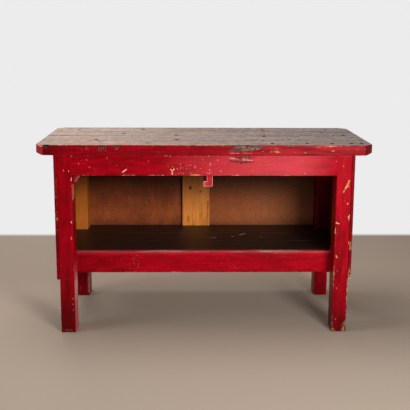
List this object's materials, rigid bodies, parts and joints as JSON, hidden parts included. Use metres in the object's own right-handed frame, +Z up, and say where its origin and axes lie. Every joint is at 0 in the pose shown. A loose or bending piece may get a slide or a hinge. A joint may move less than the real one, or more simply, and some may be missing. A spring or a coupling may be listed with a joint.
{
  "type": "workbench",
  "caption": "Red-painted rustic wooden workbench with a heavy weathered plank top, mortised legs and rails, a low shelf, a closed back and a swinging turn catch.",
  "frame": {"origin": "on the floor, under the middle of the worktop", "axes": "+X along the bench to the right, +Y from front to back, +Z up"},
  "size_m": [1.479, 0.686, 0.862],
  "materials": {
    "worktop_wood": "bare, weathered and worn",
    "red_paint": "worn semi-gloss red paint",
    "bare_pine": "bare aged pine",
    "hardboard": "brown pressed board",
    "shelf_stain": "near-black brown stain",
    "steel": "dull bare steel"
  },
  "bodies": {
    "bench": {"top_board_1": "worktop_wood", "top_board_2": "worktop_wood", "top_board_3": "worktop_wood", "top_board_4": "worktop_wood", "top_batten_left": "bare_pine", "leg_front_left": "red_paint", "leg_rear_left": "red_paint", "end_rail_upper_left": "bare_pine", "end_rail_lower_left": "bare_pine", "end_panel_left": "red_paint", "back_panel_left": "hardboard", "top_batten_right": "bare_pine", "leg_front_right": "red_paint", "leg_rear_right": "red_paint", "end_rail_upper_right": "bare_pine", "end_rail_lower_right": "bare_pine", "end_panel_right": "red_paint", "back_panel_right": "hardboard", "apron_front": "red_paint", "apron_rear": "red_paint", "rail_lower_front": "red_paint", "rail_lower_rear": "red_paint", "stop_block": "red_paint", "shelf_board_1": "shelf_stain", "shelf_board_2": "shelf_stain", "shelf_board_3": "shelf_stain", "shelf_bearer": "bare_pine", "centre_post": "bare_pine", "catch_screw": "steel", "catch_washer": "steel"},
    "catch": {"catch": "red_paint"}
  },
  "joints": [
    {"name": "catch_pivot", "type": "hinge", "parent": "bench", "child": "catch", "pos_m": [0.01902, -0.2967, 0.7687], "axis": [0, 1, 0], "range_deg": [-90, 90]}
  ]
}
